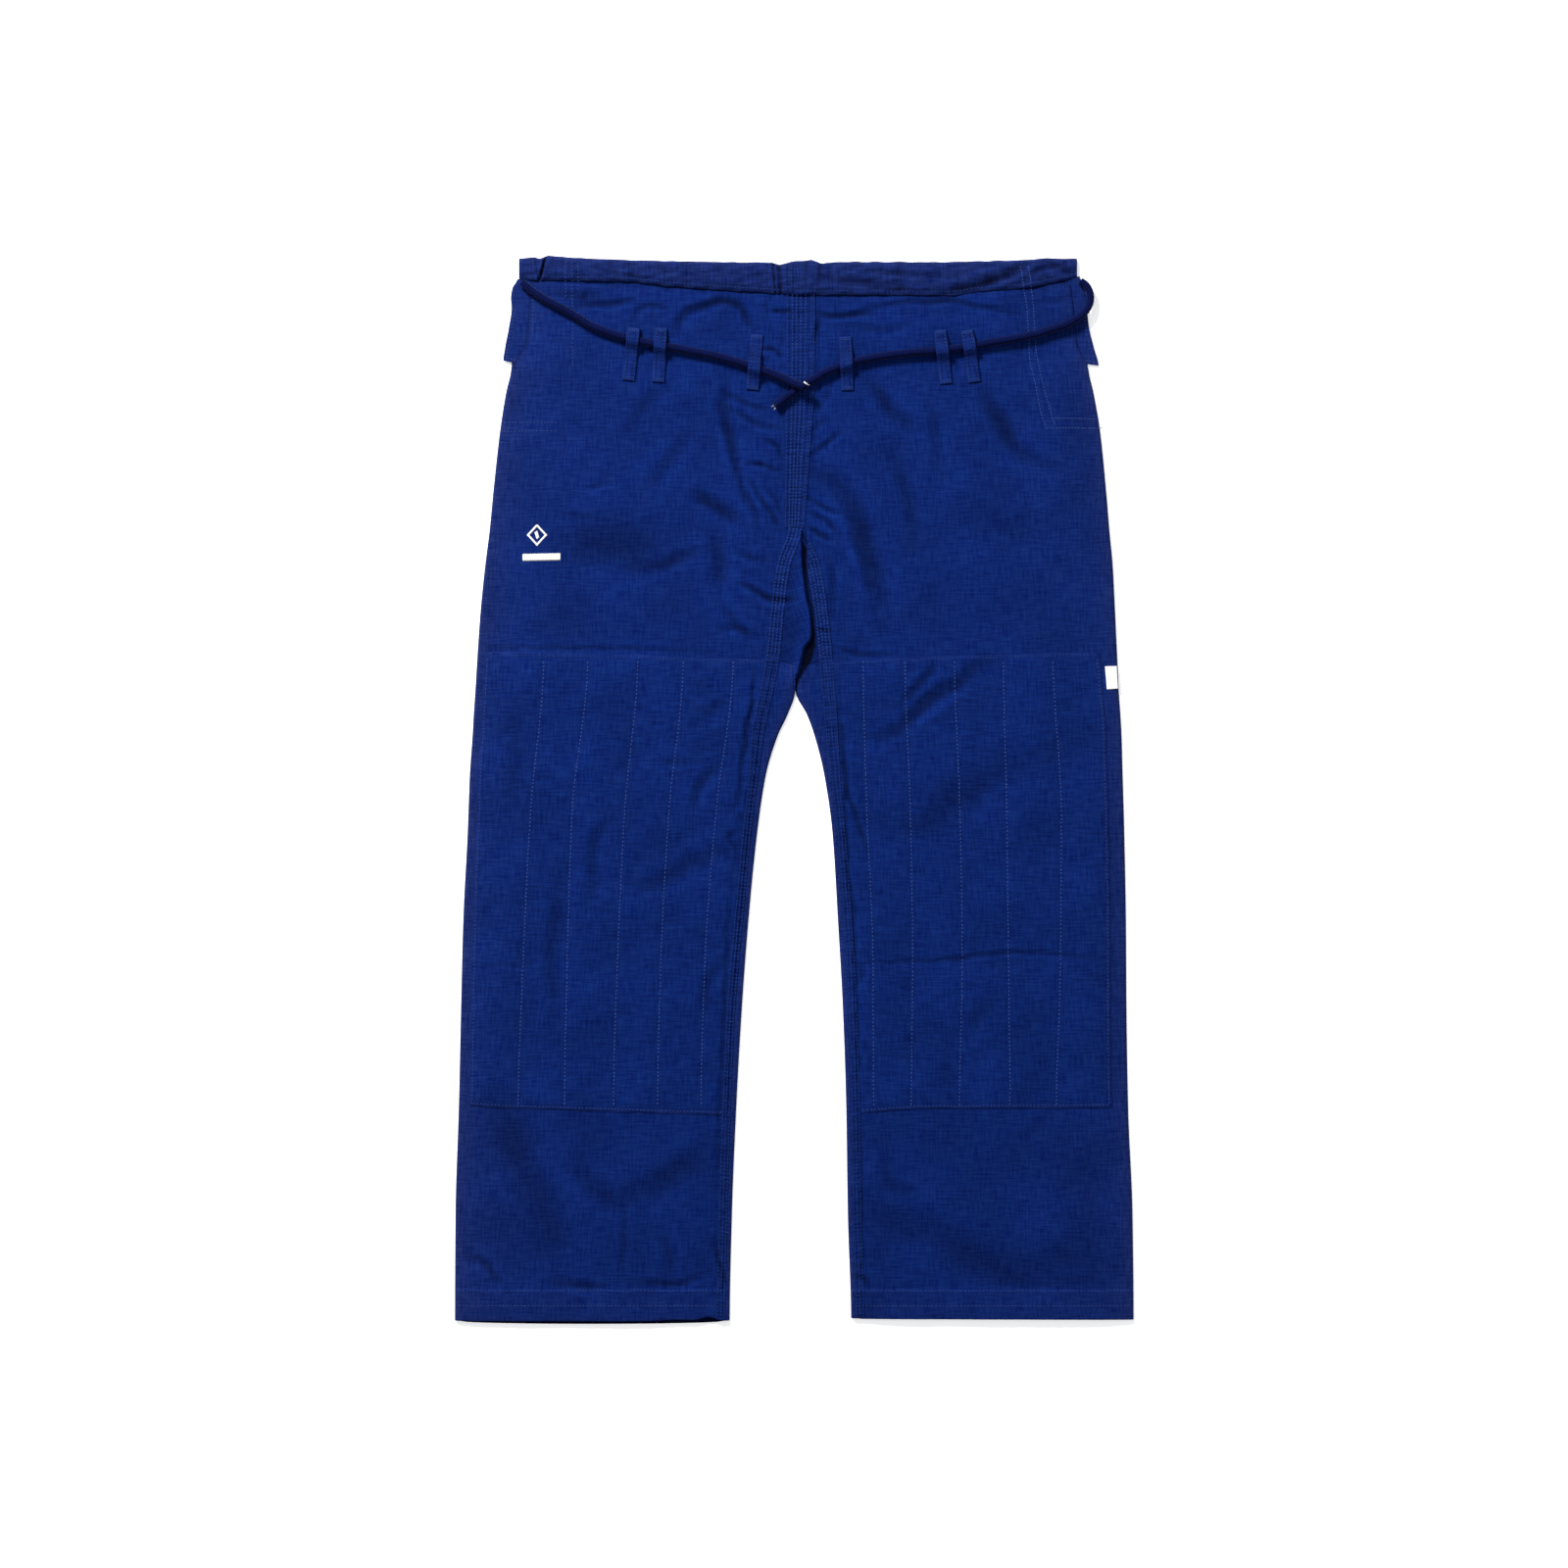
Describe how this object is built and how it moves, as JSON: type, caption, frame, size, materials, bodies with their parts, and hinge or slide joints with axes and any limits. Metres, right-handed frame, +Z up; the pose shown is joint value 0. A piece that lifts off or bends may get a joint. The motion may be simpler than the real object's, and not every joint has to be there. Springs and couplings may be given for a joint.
{
  "type": "jiu-jitsu gi trousers",
  "caption": "Cotton drill gi trousers laid flat, front up, with a turned-over waist casing, drawstring through belt loops, quilted knee patches and a diamond gusset.",
  "frame": {"origin": "on the floor, under the middle of the laid-out garment", "axes": "+Y from the hems towards the waist, +Z up out of the front, +X towards the wearer's left side"},
  "size_m": [0.617, 0.971, 0.0213],
  "materials": {
    "drill": "matt blue cotton drill with a fine slubbed weave",
    "patch_drill": "matt blue cotton drill, quilted with rows of stitches",
    "cord": "braided dark blue cotton cord",
    "tab": "plain white woven tab"
  },
  "bodies": {
    "root": {"front_panel_left": "drill", "front_panel_right": "drill", "back_panel_left": "drill", "back_panel_right": "drill", "crotch_gusset": "drill", "knee_patch_left": "patch_drill", "knee_patch_right": "patch_drill", "waist_casing_front_left": "drill", "waist_casing_front_right": "drill", "waist_casing_back": "drill", "vent_facing_left": "drill", "vent_facing_right": "drill", "side_tab": "tab", "drawstring_left": "cord", "drawstring_right": "cord", "belt_loop_left_outer": "drill", "belt_loop_left_middle": "drill", "belt_loop_left_inner": "drill", "belt_loop_right_inner": "drill", "belt_loop_right_middle": "drill", "belt_loop_right_outer": "drill"}
  },
  "joints": []
}
